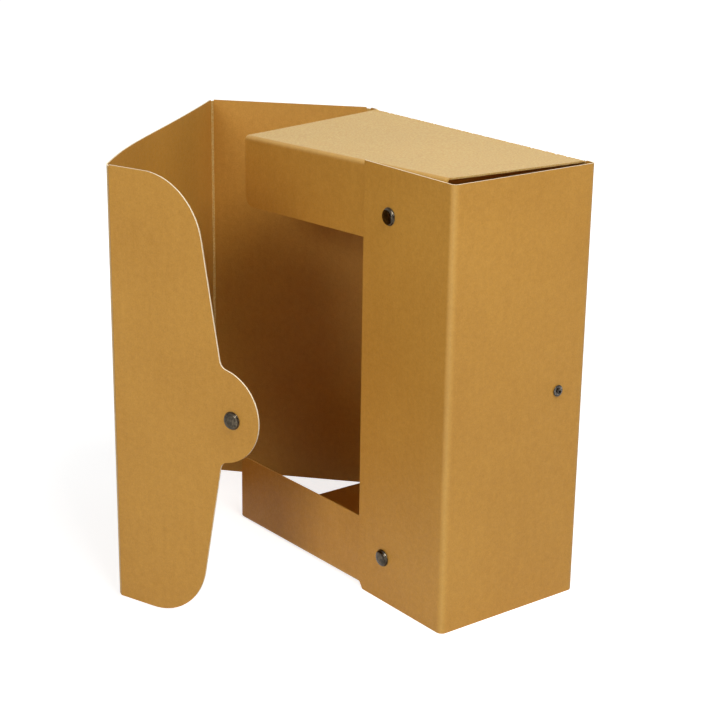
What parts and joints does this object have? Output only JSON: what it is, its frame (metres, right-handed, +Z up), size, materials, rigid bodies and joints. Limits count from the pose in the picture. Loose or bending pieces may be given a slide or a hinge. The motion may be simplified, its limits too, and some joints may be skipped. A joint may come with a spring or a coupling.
{
  "type": "project file box",
  "caption": "Upright document box of creased brown board with tucked and riveted ends, and a wrap-round lid that closes with a snap tab.",
  "frame": {"origin": "centre of the outline seen from above, at the surface the box stands on, with the lid open as it stands", "axes": "+Z up, +X from the lid's side towards the spine, +Y from the front strip towards the back wall"},
  "size_m": [0.3648, 0.2888, 0.3327],
  "materials": {
    "board": "uncoated brown board, matt with a faint calendered sheen",
    "cap_metal": "dark antique bronze plating, worn bright in fine scratches",
    "base_metal": "dull antique bronze plating",
    "stud_metal": "dull nickel plating"
  },
  "bodies": {
    "case": {"box_body": "board", "upper_rivet_cap": "cap_metal", "upper_rivet_base": "base_metal", "lower_rivet_cap": "cap_metal", "lower_rivet_base": "base_metal", "snap_stud": "stud_metal", "snap_eyelet": "stud_metal"},
    "side": {"side_panel": "board"},
    "cover": {"front_cover": "board"},
    "closing": {"closing_flap": "board", "snap_cap": "cap_metal", "snap_socket": "base_metal"}
  },
  "joints": [
    {"name": "side_crease", "type": "hinge", "parent": "case", "child": "side", "pos_m": [-0.08164, 0.14379, 0.165], "axis": [0, 0, 1], "range_deg": [-41.65, 48.35]},
    {"name": "cover_crease", "type": "hinge", "parent": "side", "child": "cover", "pos_m": [-0.18177, 0.05474, 0.165], "axis": [0, 0, 1], "range_deg": [-90, 0]},
    {"name": "closing_crease", "type": "hinge", "parent": "cover", "child": "closing", "pos_m": [-0.00519, -0.1438, 0.165], "axis": [0, 0, 1], "range_deg": [-67.35, 22.65]}
  ]
}
